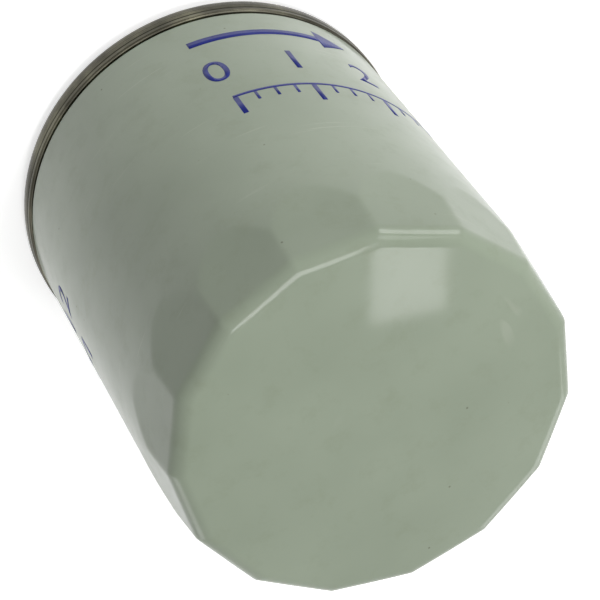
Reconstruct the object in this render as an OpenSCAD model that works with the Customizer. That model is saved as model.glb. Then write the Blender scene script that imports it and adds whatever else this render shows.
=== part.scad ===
// Spin-on oil filter, standing on its gasket with the closed end up.
// Origin: centre of the gasket's sealing face, on the thread's axis. +Z runs towards the closed end.

/* [Can] */
// Outer diameter of the can
can_d = 93; // [88:1:115]
// Height from the seam's lower rim to the corner of the end face
can_h = 108; // [90:1:180]
// Sheet thickness of the can
can_wall = 0.5; // [0.4:0.05:0.8]
// Number of wrench flats round the closed end
flat_count = 15; // [13:1:16]
// Height of the edges between the flats
flat_h = 12.5; // [8:0.5:16]
// How far the corners of the end face stand in from the can's wall
flat_inset = 1.35; // [0.8:0.05:2]
// Rise of the domed end face
crown_h = 2.5; // [1:0.25:5]

/* [Seam and lid] */
// Height of the rolled seam
seam_h = 5.6; // [4.5:0.1:8]
// How far the seam stands out from the can's wall
seam_proud = 0.5; // [0:0.1:1.2]
// Sheet thickness of the lid
lid_t = 0.6; // [0.5:0.05:0.8]
// Gap between the folded layers of the seam
layer_gap = 0.08; // [0.05:0.01:0.1]

/* [Gasket] */
// Outer diameter of the gasket
gasket_d = 71.5; // [66:0.5:74]
// Radial width of the gasket
gasket_w = 5; // [4:0.25:6]
// Thickness of the gasket
gasket_h = 5.8; // [5:0.1:7]
// How far the gasket stands below the seam's rim
gasket_proud = 2; // [1:0.1:2.6]
// Gap between the gasket and the walls of its channel
gasket_gap = 0.15; // [0.1:0.05:0.4]

/* [Base plate] */
// Thickness of the base plate
plate_t = 4; // [3:0.25:6]
// Bore of the threaded hub, at the crests of a 3/4-16 UNF thread
thread_bore_d = 17.4; // [14:0.1:22]
// Length of the threaded wall
thread_l = 15.6; // [12:0.2:20]
// Outer diameter of the hub
hub_d = 25; // [22:0.5:28]
// Radial width of the step at the hub's root
hub_step_w = 3; // [2:0.25:4]
// Height of the step at the hub's root
hub_step_h = 4.6; // [4:0.2:6]
// Number of inlet holes
inlet_count = 8; // [6:1:10]
// Diameter of an inlet hole
inlet_d = 8; // [5:0.5:9]
// Web between the hub's step and the inlet holes
inlet_web = 2.25; // [1.5:0.25:4]

/* [Filter element] */
// Radial gap for oil between the element and the can
oil_gap = 5.9; // [4.5:0.1:9]
// Width of the end caps' edges outside the paper
cap_edge_w = 1.6; // [1:0.1:2.5]
// Number of pleats
pleat_count = 48; // [36:1:56]
// Thickness of the paper
paper_t = 0.6; // [0.4:0.05:0.8]
// Sheet thickness of the end caps
cap_t = 0.5; // [0.4:0.05:0.8]
// Height of the end caps' turned rims
cap_rim_h = 4; // [3:0.5:6]
// Thickness of the adhesive beds in the end caps
bond_t = 1.6; // [1:0.1:3]
// Outer diameter of the centre tube
tube_d = 35.5; // [34:0.25:37]
// Sheet thickness of the centre tube
tube_wall = 0.5; // [0.4:0.05:0.8]
// Diameter of an oil hole in the centre tube
tube_hole_d = 5.5; // [3:0.25:6.5]
// Number of oil holes round the centre tube
tube_holes_round = 8; // [6:2:10]
// Height from one row of oil holes to the next
tube_row_pitch = 8; // [7:0.5:12]
// Sliding gap between the hub and the outlet end cap
hub_gap = 0.3; // [0.2:0.05:0.4]

/* [Anti-drain valve] */
// How far the valve's lip reaches past the inlet holes
lip_overlap = 2.75; // [2:0.25:4]
// Thickness of the rubber
rubber_t = 1.6; // [1.2:0.1:2]
// Height of the collar on the hub
collar_h = 4.4; // [3.5:0.1:6]
// Gap between soft and hard faces that touch
soft_gap = 0.3; // [0.2:0.05:0.4]

/* [Bypass valve] */
// Diameter of the hole in the valve's seat
seat_hole_d = 16; // [12:0.5:18]
// Diameter of the valve disc
disc_d = 21; // [19:0.5:23]
// Thickness of the valve disc
disc_t = 1; // [0.8:0.1:1.4]
// Thickness of the sealing washer
washer_t = 1.2; // [1:0.1:1.6]
// Depth of the spring cage
cage_h = 18; // [16:0.5:22]
// Number of windows in the cage
window_count = 4; // [3:1:6]
// Wire diameter of the bypass spring
bypass_wire = 1.2; // [0.9:0.1:1.5]
// Coil diameter of the bypass spring, wire centre to wire centre
bypass_coil_d = 14; // [12:0.5:15.5]
// Turns of the bypass spring
bypass_turns = 5; // [4:0.5:6]

/* [Element spring] */
// Wire diameter of the element spring
spring_wire = 2.2; // [1.8:0.1:2.6]
// Coil diameter of the element spring, wire centre to wire centre
spring_coil_d = 36; // [32:0.5:40]
// Turns of the element spring
spring_turns = 3.5; // [3:0.25:4]
// Length of the element spring as fitted
spring_fitted_h = 17.7; // [13:0.1:24]
// Sheet thickness of the spring's seat
seat_t = 0.8; // [0.6:0.1:1.2]

/* [Hidden] */
curve_fn = 96;
round_fn = 48;
wire_sides = 8;
steps_per_turn = 20;
bend_steps = 5;
cut_over = 1;

can_r = can_d / 2;
seam_r = can_r + seam_proud;
flat_angle = 360 / flat_count;

// Heights from the sealing face up
seam_z0 = gasket_proud;
seam_z1 = seam_z0 + seam_h;
plate_z0 = gasket_h + lid_t;
plate_z1 = plate_z0 + plate_t;
step_z1 = plate_z1 + hub_step_h;
hub_z1 = plate_z0 + thread_l;
collar_z0 = step_z1;
collar_z1 = collar_z0 + collar_h;
element_z0 = collar_z1 + soft_gap;
end_z = seam_z0 + can_h;
crown_z = end_z + crown_h;

// The dome's arc passes through the end face's corners and the crown
corner_r = can_r - flat_inset;
dome_r = (corner_r * corner_r + crown_h * crown_h) / (2 * crown_h);
dome_cz = crown_z - dome_r;

// The element spring's seat fits under the dome
spring_r = spring_coil_d / 2;
seat_outer_r = spring_r + spring_wire / 2 + 2;
seat_skirt_w = 0.4;
seat_skirt_h = 2;
seat_room = 0.15;
seat_top_z = dome_cz + sqrt(pow(dome_r - can_wall, 2) - pow(seat_outer_r, 2)) - seat_room;
seat_ring_z = seat_top_z - seat_t;
element_z1 = seat_ring_z - spring_fitted_h;

// The flats lean in by the inset over their height
corner_cos = cos(flat_angle / 2);
flat_top_x = corner_r * corner_cos;
flat_lean = atan(flat_inset * corner_cos / flat_h);

// Middle radii of the seam's five layers, from the outside in
wall_out_r = seam_r - lid_t / 2;
can_hook_r = wall_out_r - (lid_t + can_wall) / 2 - layer_gap;
lid_hook_r = can_hook_r - (can_wall + lid_t) / 2 - layer_gap;
can_neck_r = lid_hook_r - (lid_t + can_wall) / 2 - layer_gap;
chuck_r = can_neck_r - (can_wall + lid_t) / 2 - layer_gap;
can_mid_r = can_r - can_wall / 2;
neck_h = 1.6;
neck_bend = 0.8;
neck_z0 = seam_z1 + 0.2;
neck_z1 = neck_z0 + neck_h;
shell_z0 = neck_z1 + neck_bend;
hook_end_gap = 0.8;
hook_bend = (can_hook_r - can_neck_r) / 2 - 0.03;
rim_bend = hook_bend + (lid_t + can_wall) / 2 + layer_gap;
fold_bend = 0.55;

// Gasket channel
gasket_r1 = gasket_d / 2;
gasket_r0 = gasket_r1 - gasket_w;
lip_r = gasket_r0 - gasket_gap - lid_t / 2;
channel_r = gasket_r1 + gasket_gap + lid_t / 2;
channel_depth = 3.2;
channel_z0 = gasket_h - channel_depth;
lid_z = gasket_h + lid_t / 2;
channel_bend = 0.5;
channel_fold_bend = 0.4;
channel_fold_w = lid_t + 0.5;
chuck_bend = 1;

// Base plate
plate_edge_gap = 0.5;
plate_r = chuck_r - lid_t / 2 - plate_edge_gap;
hub_r = hub_d / 2;
step_r = hub_r + hub_step_w;
inlet_circle_r = step_r + inlet_web + inlet_d / 2;
thread_chamfer = 0.8;

// Element
tube_r = tube_d / 2;
paper_gap = 1.3;
media_r0 = tube_r + paper_gap;
cap_r = can_r - can_wall - oil_gap;
media_r1 = cap_r - cap_edge_w;
cap_bend = 0.8;
bond_r1 = cap_r - cap_bend;
neck_r0 = hub_r + hub_gap;
neck_over_hub = 1.2;
neck_top_z = hub_z1 + neck_over_hub;
neck_root_bend = 0.6;
bond_tube_gap = 0.1;
outlet_floor_z = element_z0 + cap_t;
closed_floor_z = element_z1 - cap_t;
media_z0 = outlet_floor_z + bond_t;
media_z1 = closed_floor_z - bond_t;
tube_plain_h = 8;
tube_row_z0 = outlet_floor_z + tube_plain_h;
tube_rows = floor((closed_floor_z - cage_h - tube_row_z0) / tube_row_pitch) + 1;

// Half width of a fold, to the middle of the paper
fold_half_w = 0.75 * paper_t;

// Clip round the pleat where the paper's two ends meet
clip_t = 0.4;
clip_depth = 3.5;
clip_gap = 0.25;
pleat_spread = media_r0 * sin(180 / pleat_count) - 2 * fold_half_w;
pleat_half_w = fold_half_w + paper_t / 2 + pleat_spread * clip_depth / (media_r1 - media_r0);

// Bypass valve, hanging below the closed end cap inside the centre tube
valve_gap = 0.4;
valve_r = tube_r - tube_wall - valve_gap;
seat_plate_t = 0.8;
seat_step = 1;
seat_z1 = closed_floor_z;
seat_z0 = seat_z1 - seat_plate_t;
washer_z1 = seat_z0 - soft_gap;
disc_z1 = washer_z1 - washer_t;
disc_z0 = disc_z1 - disc_t;
cage_t = 0.6;
cage_z1 = seat_z0;
cage_z0 = cage_z1 - cage_h;
guide_gap = 0.4;
guide_r = bypass_coil_d / 2 - bypass_wire / 2 - guide_gap;
guide_h = 4;
bypass_spring_z0 = cage_z0 + cage_t;
bypass_hole_r = 4;
spigot_gap = 0.1;
coil_end_gap = 0.05;

steel = "#8f8f88";
tin_plate = "#8a8872";
paint = "#a3ad9b";
black_rubber = "#232323";
paper_yellow = "#cdb27a";
adhesive = "#b9512f";
spring_steel = "#6e7072";

// Points of the arc that rounds corner b between a and c
function bend(a, b, c, r) =
    let (
        u = (a - b) / norm(a - b),
        v = (c - b) / norm(c - b),
        half = acos(u * v) / 2,
        centre = b + (u + v) / norm(u + v) * r / sin(half),
        p = b + u * r / tan(half) - centre,
        q = b + v * r / tan(half) - centre,
        turn = atan2(p[0] * q[1] - p[1] * q[0], p * q),
        start = atan2(p[1], p[0])
    )
    [for (i = [0 : bend_steps]) centre + r * [cos(start + turn * i / bend_steps), sin(start + turn * i / bend_steps)]];

// A path with each inner corner rounded by its own radius
function bent(path, radii) = [
    path[0],
    for (i = [1 : len(path) - 2]) each bend(path[i - 1], path[i], path[i + 1], radii[i - 1]),
    path[len(path) - 1]
];

function unit(v) = v / norm(v);
function left_of(v) = [-v[1], v[0]];

// The path moved sideways by d, with mitred corners
function beside(path, d) =
    let (last = len(path) - 1)
    [for (i = [0 : last])
        let (
            before = left_of(unit(path[i] - path[max(i - 1, 0)] + (i == 0 ? path[1] - path[0] : [0, 0]))),
            after = left_of(unit(path[min(i + 1, last)] - path[i] + (i == last ? path[last] - path[last - 1] : [0, 0]))),
            middle = unit(before + after)
        )
        path[i] + middle * d / (middle * after)];

function backwards(list) = [for (i = [len(list) - 1 : -1 : 0]) list[i]];

// Outline of a sheet of thickness t that follows a path through its middle
function sheet(path, t) = concat(beside(path, t / 2), backwards(beside(path, -t / 2)));

module stamped(path, radii, t) {
    rotate_extrude($fn = curve_fn)
        polygon(sheet(bent(path, radii), t));
}

module tube(r, wall, z0, z1) {
    translate([0, 0, z0])
        difference() {
            cylinder(r = r, h = z1 - z0, $fn = curve_fn);
            translate([0, 0, -cut_over])
                cylinder(r = r - wall, h = z1 - z0 + 2 * cut_over, $fn = curve_fn);
        }
}

module disc_ring(r0, r1, z0, z1) {
    tube(r1, r1 - r0, z0, z1);
}

// Round wire wound in a coil: closed end turns lie flat, the rest climb evenly
module coil(r, wire, turns, z0, z1) {
    rings = ceil(turns * steps_per_turn);
    climb = z1 - z0 - 2 * wire;
    low = z0 + wire / 2;
    flat_turns = 0.75;
    function rise(turn) =
        turn < flat_turns ? wire / 2 * turn / flat_turns
        : turn > turns - flat_turns ? climb + wire / 2 + wire / 2 * (turn - turns + flat_turns) / flat_turns
        : wire / 2 + climb * (turn - flat_turns) / (turns - 2 * flat_turns);
    points = [for (i = [0 : rings], k = [0 : wire_sides - 1])
        let (a = 360 * turns * i / rings, b = 360 * k / wire_sides, out = r + wire / 2 * cos(b))
        [out * cos(a), out * sin(a), low + rise(turns * i / rings) + wire / 2 * sin(b)]];
    sides = [for (i = [0 : rings - 1], k = [0 : wire_sides - 1])
        let (n = (k + 1) % wire_sides)
        [i * wire_sides + k, i * wire_sides + n, (i + 1) * wire_sides + n, (i + 1) * wire_sides + k]];
    first = [for (k = [wire_sides - 1 : -1 : 0]) k];
    last = [for (k = [0 : wire_sides - 1]) rings * wire_sides + k];
    polyhedron(points = points, faces = concat([first], sides, [last]));
}

// Solid form of the can, moved in by a distance from its outer skin
module can_form(inset, z0) {
    difference() {
        rotate_extrude($fn = curve_fn)
            intersection() {
                translate([0, dome_cz])
                    circle(r = dome_r - inset, $fn = 720);
                translate([0, z0])
                    square([can_r - inset, crown_z - z0 + cut_over]);
            }
        for (i = [0 : flat_count - 1])
            rotate([0, 0, flat_angle * i])
                translate([flat_top_x, 0, end_z])
                    rotate([0, -flat_lean, 0])
                        translate([-inset, -can_r, -3 * flat_h])
                            cube([can_r, can_d, 4 * flat_h]);
    }
}

module can() {
    hook_z = seam_z0 + lid_t + layer_gap + can_wall / 2;
    color(paint) {
        difference() {
            can_form(0, shell_z0);
            can_form(can_wall, shell_z0 - cut_over);
        }
        stamped(
            [
                [can_mid_r, shell_z0], [can_mid_r, neck_z1], [can_neck_r, neck_z0],
                [can_neck_r, hook_z], [can_hook_r, hook_z], [can_hook_r, seam_z1 - lid_t - hook_end_gap]
            ],
            [neck_bend, neck_bend, hook_bend, hook_bend],
            can_wall
        );
    }
}

module seaming_lid() {
    low_z = seam_z0 + lid_t / 2;
    top_z = seam_z1 - lid_t / 2;
    hook_z = seam_z0 + lid_t + can_wall + 2 * layer_gap + hook_end_gap;
    fold_r = channel_r + channel_fold_w;
    color(tin_plate)
        stamped(
            [
                [lip_r, channel_z0], [lip_r, lid_z], [channel_r, lid_z],
                [channel_r, channel_z0], [fold_r, channel_z0], [fold_r, lid_z],
                [chuck_r, lid_z], [chuck_r, low_z], [wall_out_r, low_z],
                [wall_out_r, top_z], [lid_hook_r, top_z], [lid_hook_r, hook_z]
            ],
            [
                channel_bend, channel_bend, channel_fold_bend, channel_fold_bend, channel_bend,
                chuck_bend, rim_bend, rim_bend, fold_bend, fold_bend
            ],
            lid_t
        );
}

module seam_sealant() {
    z1 = seam_z1 - lid_t / 2 - fold_bend;
    color("#3a5f3a")
        disc_ring(can_hook_r - can_wall / 2, can_hook_r + can_wall / 2, seam_z1 - lid_t - hook_end_gap, z1);
}

module mounting_gasket() {
    edge = 0.5;
    color(black_rubber)
        rotate_extrude($fn = curve_fn)
            polygon([
                [gasket_r0 + edge, 0], [gasket_r1 - edge, 0], [gasket_r1, edge],
                [gasket_r1, gasket_h - edge], [gasket_r1 - edge, gasket_h],
                [gasket_r0 + edge, gasket_h], [gasket_r0, gasket_h - edge], [gasket_r0, edge]
            ]);
}

module base_plate() {
    bore_r = thread_bore_d / 2;
    color(steel)
        difference() {
            rotate_extrude($fn = curve_fn)
                polygon([
                    [bore_r + thread_chamfer, plate_z0], [plate_r, plate_z0], [plate_r, plate_z1],
                    [step_r, plate_z1], [step_r, step_z1], [hub_r, step_z1], [hub_r, hub_z1],
                    [bore_r + thread_chamfer, hub_z1], [bore_r, hub_z1 - thread_chamfer],
                    [bore_r, plate_z0 + thread_chamfer]
                ]);
            for (i = [0 : inlet_count - 1])
                rotate([0, 0, 360 * (i + 0.5) / inlet_count])
                    translate([inlet_circle_r, 0, plate_z0 - cut_over])
                        cylinder(d = inlet_d, h = plate_t + 2 * cut_over, $fn = round_fn);
        }
}

module anti_drain_valve() {
    running_gap = 0.1;
    collar_w = 2.2;
    collar_r0 = hub_r + running_gap;
    root_z = collar_z0 + soft_gap + rubber_t / 2;
    root_r1 = step_r + 1.5;
    lip_z = plate_z1 + soft_gap + rubber_t / 2;
    lip_w = 2.4;
    rubber_bend = 1.5;
    lip_r1 = inlet_circle_r + inlet_d / 2 + lip_overlap;
    color("#8c3b22") {
        disc_ring(collar_r0, collar_r0 + collar_w, collar_z0 + soft_gap, collar_z1);
        stamped(
            [
                [collar_r0 + collar_w / 2, root_z], [root_r1, root_z],
                [lip_r1 - lip_w, lip_z], [lip_r1, lip_z]
            ],
            [rubber_bend, rubber_bend],
            rubber_t
        );
    }
}

module outlet_end_cap() {
    neck_mid_r = neck_r0 + cap_t / 2;
    floor_z = element_z0 + cap_t / 2;
    color(steel)
        stamped(
            [[neck_mid_r, neck_top_z], [neck_mid_r, floor_z], [cap_r, floor_z], [cap_r, element_z0 + cap_rim_h]],
            [neck_root_bend, cap_bend],
            cap_t
        );
}

module outlet_bond() {
    color(adhesive)
        disc_ring(tube_r + bond_tube_gap, bond_r1, outlet_floor_z, outlet_floor_z + bond_t);
}

module filter_media() {
    half = 180 / pleat_count;
    // Each fold is a flat of two corners; d moves the face off the middle of the paper
    function face_line(d) = [for (i = [0 : 2 * pleat_count - 1], s = [-1, 1])
        let (out = i % 2 == 0)
        let (r = (out ? media_r1 - paper_t / 2 : media_r0 + paper_t / 2) + d)
        let (w = s * (fold_half_w + (out ? d : -d)))
        [r * cos(half * i) - w * sin(half * i), r * sin(half * i) + w * cos(half * i)]];
    color(paper_yellow)
        translate([0, 0, media_z0])
            linear_extrude(height = media_z1 - media_z0)
                difference() {
                    polygon(face_line(paper_t / 2));
                    polygon(face_line(-paper_t / 2));
                }
}

module media_clip() {
    inner = pleat_half_w + clip_gap;
    outer = inner + clip_t;
    top = media_r1 + clip_gap;
    color(steel)
        translate([0, 0, media_z0])
            linear_extrude(height = media_z1 - media_z0)
                polygon([
                    [top - clip_depth, -outer], [top + clip_t, -outer], [top + clip_t, outer],
                    [top - clip_depth, outer], [top - clip_depth, inner], [top, inner],
                    [top, -inner], [top - clip_depth, -inner]
                ]);
}

module centre_tube() {
    color(steel)
        difference() {
            tube(tube_r, tube_wall, outlet_floor_z, closed_floor_z);
            for (row = [0 : tube_rows - 1], i = [0 : tube_holes_round - 1])
                translate([0, 0, tube_row_z0 + tube_row_pitch * row])
                    rotate([0, 90, 360 * (i + 0.25 + row % 2 / 2) / tube_holes_round])
                        translate([0, 0, tube_r - tube_hole_d])
                            cylinder(d = tube_hole_d, h = 2 * tube_hole_d, $fn = round_fn);
        }
}

module closed_bond() {
    color(adhesive)
        disc_ring(tube_r + bond_tube_gap, bond_r1, closed_floor_z - bond_t, closed_floor_z);
}

module closed_end_cap() {
    floor_z = element_z1 - cap_t / 2;
    color(steel)
        stamped(
            [[seat_hole_d / 2 + seat_step, floor_z], [cap_r, floor_z], [cap_r, element_z1 - cap_rim_h]],
            [cap_bend],
            cap_t
        );
}

module bypass_seat() {
    color(steel)
        disc_ring(seat_hole_d / 2, valve_r, seat_z0, seat_z1);
}

module bypass_washer() {
    color(black_rubber)
        disc_ring(bypass_hole_r, disc_d / 2, disc_z1, washer_z1);
}

module bypass_disc() {
    color(steel) {
        translate([0, 0, disc_z0])
            cylinder(r = disc_d / 2, h = disc_t, $fn = curve_fn);
        translate([0, 0, disc_z0 - guide_h])
            cylinder(r = guide_r, h = guide_h, $fn = round_fn);
        translate([0, 0, disc_z1])
            cylinder(r = bypass_hole_r - spigot_gap, h = washer_t, $fn = round_fn);
    }
}

module bypass_spring() {
    color(spring_steel)
        coil(bypass_coil_d / 2, bypass_wire, bypass_turns, bypass_spring_z0 + coil_end_gap, disc_z0 - coil_end_gap);
}

module bypass_cage() {
    coil_room = 0.6;
    disc_room = 1.2;
    shoulder_drop = 5;
    shoulder_h = 3;
    cage_bend = 0.8;
    flange_bend = 0.5;
    window_h = 5;
    window_web = 1.4;
    low_window_w = 6;
    high_window_w = 8;
    wall_r = bypass_coil_d / 2 + bypass_wire / 2 + coil_room + cage_t / 2;
    top_r = disc_d / 2 + disc_room + cage_t / 2;
    floor_z = cage_z0 + cage_t / 2;
    flange_z = cage_z1 - cage_t / 2;
    shoulder_z1 = disc_z0 - shoulder_drop;
    shoulder_z0 = shoulder_z1 - shoulder_h;
    color(steel)
        difference() {
            stamped(
                [
                    [bypass_hole_r, floor_z], [wall_r, floor_z], [wall_r, shoulder_z0],
                    [top_r, shoulder_z1], [top_r, flange_z], [valve_r, flange_z]
                ],
                [cage_bend, cage_bend, cage_bend, flange_bend],
                cage_t
            );
            for (i = [0 : window_count - 1])
                rotate([0, 0, 360 * i / window_count]) {
                    translate([wall_r / 2, -low_window_w / 2, cage_z0 + cage_t + window_web])
                        cube([top_r, low_window_w, window_h]);
                    rotate([0, 0, 180 / window_count])
                        translate([top_r / 2, -high_window_w / 2, disc_z0 - window_h + window_web])
                            cube([top_r, high_window_w, window_h - window_web]);
                }
        }
}

module element_spring() {
    color(spring_steel)
        coil(spring_r, spring_wire, spring_turns, element_z1 + coil_end_gap, seat_ring_z - coil_end_gap);
}

module spring_seat() {
    inner_r = spring_r - spring_wire / 2 - seat_t - 1.2;
    lead_in = 0.6;
    mid_z = seat_top_z - seat_t / 2;
    guide_z = mid_z - 3;
    seat_bend = 0.7;
    color(steel)
        stamped(
            [
                [inner_r, guide_z], [inner_r + lead_in, mid_z],
                [seat_outer_r, mid_z], [seat_outer_r + seat_skirt_w, mid_z - seat_skirt_h]
            ],
            [seat_bend, seat_bend],
            seat_t
        );
}

can();
seaming_lid();
seam_sealant();
mounting_gasket();
base_plate();
anti_drain_valve();
outlet_end_cap();
outlet_bond();
filter_media();
media_clip();
centre_tube();
closed_bond();
closed_end_cap();
bypass_seat();
bypass_washer();
bypass_disc();
bypass_spring();
bypass_cage();
element_spring();
spring_seat();
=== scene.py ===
import math

import bmesh
import bpy
import numpy as np
from mathutils import Matrix, Quaternion, Vector


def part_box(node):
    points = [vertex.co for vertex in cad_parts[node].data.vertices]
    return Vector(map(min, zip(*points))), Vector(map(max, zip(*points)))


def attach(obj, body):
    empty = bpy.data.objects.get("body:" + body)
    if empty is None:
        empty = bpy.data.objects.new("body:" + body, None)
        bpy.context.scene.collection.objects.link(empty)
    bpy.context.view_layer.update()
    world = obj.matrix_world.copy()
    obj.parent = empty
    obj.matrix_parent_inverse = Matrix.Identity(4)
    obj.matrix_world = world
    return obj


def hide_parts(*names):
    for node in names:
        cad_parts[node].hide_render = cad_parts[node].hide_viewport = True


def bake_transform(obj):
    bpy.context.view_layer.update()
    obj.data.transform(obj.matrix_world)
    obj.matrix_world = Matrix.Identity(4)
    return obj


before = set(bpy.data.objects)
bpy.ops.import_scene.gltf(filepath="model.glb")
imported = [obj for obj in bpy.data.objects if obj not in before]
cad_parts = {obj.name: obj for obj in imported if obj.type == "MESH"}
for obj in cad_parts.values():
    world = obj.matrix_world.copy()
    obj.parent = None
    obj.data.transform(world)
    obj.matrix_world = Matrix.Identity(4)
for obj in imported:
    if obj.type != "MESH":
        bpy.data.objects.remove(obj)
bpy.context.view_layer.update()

bl_info = {
    "name": "Spin-on oil filter",
    "version": (1, 0, 0),
    "blender": (4, 5, 0),
    "location": "View3D > Sidebar > Oil filter",
    "description": "Models a spin-on oil filter round its packed frame, piece by piece",
    "category": "Add Mesh",
}

MM = 0.001
# Points nearer than this to each other are merged, and nearer than this to a cutting plane lie on it
MERGE = 0.001 * MM
ON_PLANE = 1e-7


def outer_radius(name):
    """Radius of a round CAD node, from its box."""
    low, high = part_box(name)
    return max(high.x, high.y, -low.x, -low.y)


def linear(code):
    """An sRGB hex colour as linear red, green, blue and alpha."""
    parts = [int(code[i:i + 2], 16) / 255 for i in (1, 3, 5)]
    return [c / 12.92 if c <= 0.04045 else ((c + 0.055) / 1.055) ** 2.4 for c in parts] + [1.0]


def length(name, what, value):
    """A size in metres that the sidebar shows."""
    return bpy.props.FloatProperty(
        name=name, description=what, default=value, min=0.0, subtype="DISTANCE", unit="LENGTH"
    )


def colour(name, what, code):
    """A colour that the sidebar shows."""
    return bpy.props.FloatVectorProperty(
        name=name, description=what, default=linear(code), size=4, min=0.0, max=1.0, subtype="COLOR"
    )


# ---------------------------------------------------------------- sizes and colours


class CanSizes(bpy.types.PropertyGroup):
    """Sizes of the drawn can"""

    radius: length("Radius", "Outer radius of the can's wall", outer_radius("can"))
    wall: length("Wall", "Sheet thickness", 0.5 * MM)
    end: length("End corner", "Height of the end face's corners", 110 * MM)
    crown: length("Crown", "Height of the end face's middle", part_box("can")[1].z)
    inset: length("Inset", "How far the corners of the end face stand in", 1.35 * MM)
    flat_height: length("Flat height", "Height of the edges between the flats", 12.5 * MM)
    flats: bpy.props.IntProperty(name="Flats", description="Wrench flats round the end", default=15, min=3)
    edge: length("Edge rounding", "Rounding from the flats into the end face", 2.8 * MM)
    corner: length("Corner softness", "Softness of the edges between the flats", 0.26 * MM)
    scallop: length("Scallop softness", "Softness where a flat runs out into the wall", 0.06 * MM)


class SeamSizes(bpy.types.PropertyGroup):
    """Sizes of the rolled seam and of the lid"""

    rim: length("Rim", "Height of the seam's lower rim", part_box("seaming_lid")[0].z)
    top: length("Top", "Height of the seam's upper edge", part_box("seaming_lid")[1].z)
    radius: length("Radius", "Outer radius of the seam", outer_radius("seaming_lid"))
    sheet: length("Sheet", "Thickness of the lid's sheet", 0.6 * MM)
    gap: length("Gap", "Gap between the folded layers", 0.08 * MM)


class FinishColours(bpy.types.PropertyGroup):
    """Colours of the finishes"""

    enamel: colour("Enamel", "Baked enamel on the can", "#A7B39E")
    enamel_shade: colour("Enamel shade", "Thinner places in the enamel", "#9EAA95")
    # Darker than bare tin: painted shade for the dark surroundings that the seam mirrors
    tinplate: colour("Tinplate", "Bare tinned strip of the lid", "#555349")
    ink: colour("Ink", "Print on the enamel", "#0B1B74")
    gasket: colour("Gasket", "Nitrile rubber", "#1F1F1E")
    valve_rubber: colour("Valve rubber", "Silicone rubber of the drain valve", "#8C3B22")
    paper: colour("Paper", "Resin-treated filter paper", "#CDB27A")
    adhesive: colour("Adhesive", "Plastisol in the end caps", "#B9512F")


# ---------------------------------------------------------------- mesh helpers


def outline(bm, points, closed=False, segments=5):
    """A profile in the XZ plane from (radius, height, rounding) in millimetres, with its corners rounded."""
    verts = [bm.verts.new((r * MM, 0.0, z * MM)) for r, z, _ in points]
    pairs = list(zip(verts, verts[1:])) + ([(verts[-1], verts[0])] if closed else [])
    for a, b in pairs:
        bm.edges.new((a, b))
    for vert, (_, _, rounding) in zip(verts, points):
        if rounding:
            a, b = [edge.other_vert(vert).co - vert.co for edge in vert.link_edges]
            reach = rounding * MM / math.tan(a.angle(b) / 2)
            bmesh.ops.bevel(
                bm, geom=[vert], offset=reach, offset_type="OFFSET", segments=segments,
                profile=0.5, affect="VERTICES", material=-1,
            )


def divide(bm, longest):
    """Cuts each edge of a profile into pieces no longer than longest(middle) says."""
    for edge in list(bm.edges):
        limit = longest((edge.verts[0].co + edge.verts[1].co) / 2)
        cuts = math.ceil(edge.calc_length() / limit) - 1
        if cuts > 0:
            bmesh.ops.subdivide_edges(bm, edges=[edge], cuts=cuts)


def turn(bm, steps):
    """Spins the profile round the filter's axis and closes its seam and poles."""
    bmesh.ops.spin(
        bm, geom=bm.verts[:] + bm.edges[:], cent=(0, 0, 0), axis=(0, 0, 1), dvec=(0, 0, 0),
        angle=2 * math.pi, steps=steps, use_merge=True, use_duplicate=False,
    )
    bmesh.ops.remove_doubles(bm, verts=bm.verts, dist=MERGE)
    bmesh.ops.recalc_face_normals(bm, faces=bm.faces)


def add_part(bm, part):
    """Adds one bmesh to another and frees it."""
    mesh = bpy.data.meshes.new("part")
    part.to_mesh(mesh)
    part.free()
    bm.from_mesh(mesh)
    bpy.data.meshes.remove(mesh)


def evaluated_mesh(piece):
    """The mesh of an object as its modifiers or its curve leave it."""
    bpy.context.view_layer.update()
    return bpy.data.meshes.new_from_object(piece.evaluated_get(bpy.context.evaluated_depsgraph_get()))


def drawn(curve):
    """What a curve or a text draws, as a bmesh; the curve itself goes."""
    holder = bpy.data.objects.new("drawn", curve)
    bpy.context.scene.collection.objects.link(holder)
    mesh = evaluated_mesh(holder)
    bpy.data.objects.remove(holder)
    bpy.data.curves.remove(curve)
    bm = bmesh.new()
    bm.from_mesh(mesh)
    bpy.data.meshes.remove(mesh)
    return bm


def finished(name, bm, coat, sharp=40):
    """Turns a bmesh into a smooth-shaded object with one finish; edges steeper than sharp degrees stay crisp."""
    mesh = bpy.data.meshes.new(name)
    bm.to_mesh(mesh)
    bm.free()
    mesh.shade_smooth()
    mesh.set_sharp_from_angle(angle=math.radians(sharp))
    mesh.materials.append(coat)
    made = bpy.data.objects.new(name, mesh)
    bpy.context.scene.collection.objects.link(made)
    return made


def thicken(piece, sheet):
    """Gives a sheet its thickness, half to each side."""
    wall = piece.modifiers.new("sheet", "SOLIDIFY")
    wall.thickness = sheet
    wall.offset = 0.0
    wall.use_even_offset = True
    return piece


def settle(piece, body, node):
    """The piece rides on a body and stands for a CAD node, which is hidden."""
    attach(piece, body)
    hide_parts(node)


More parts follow.
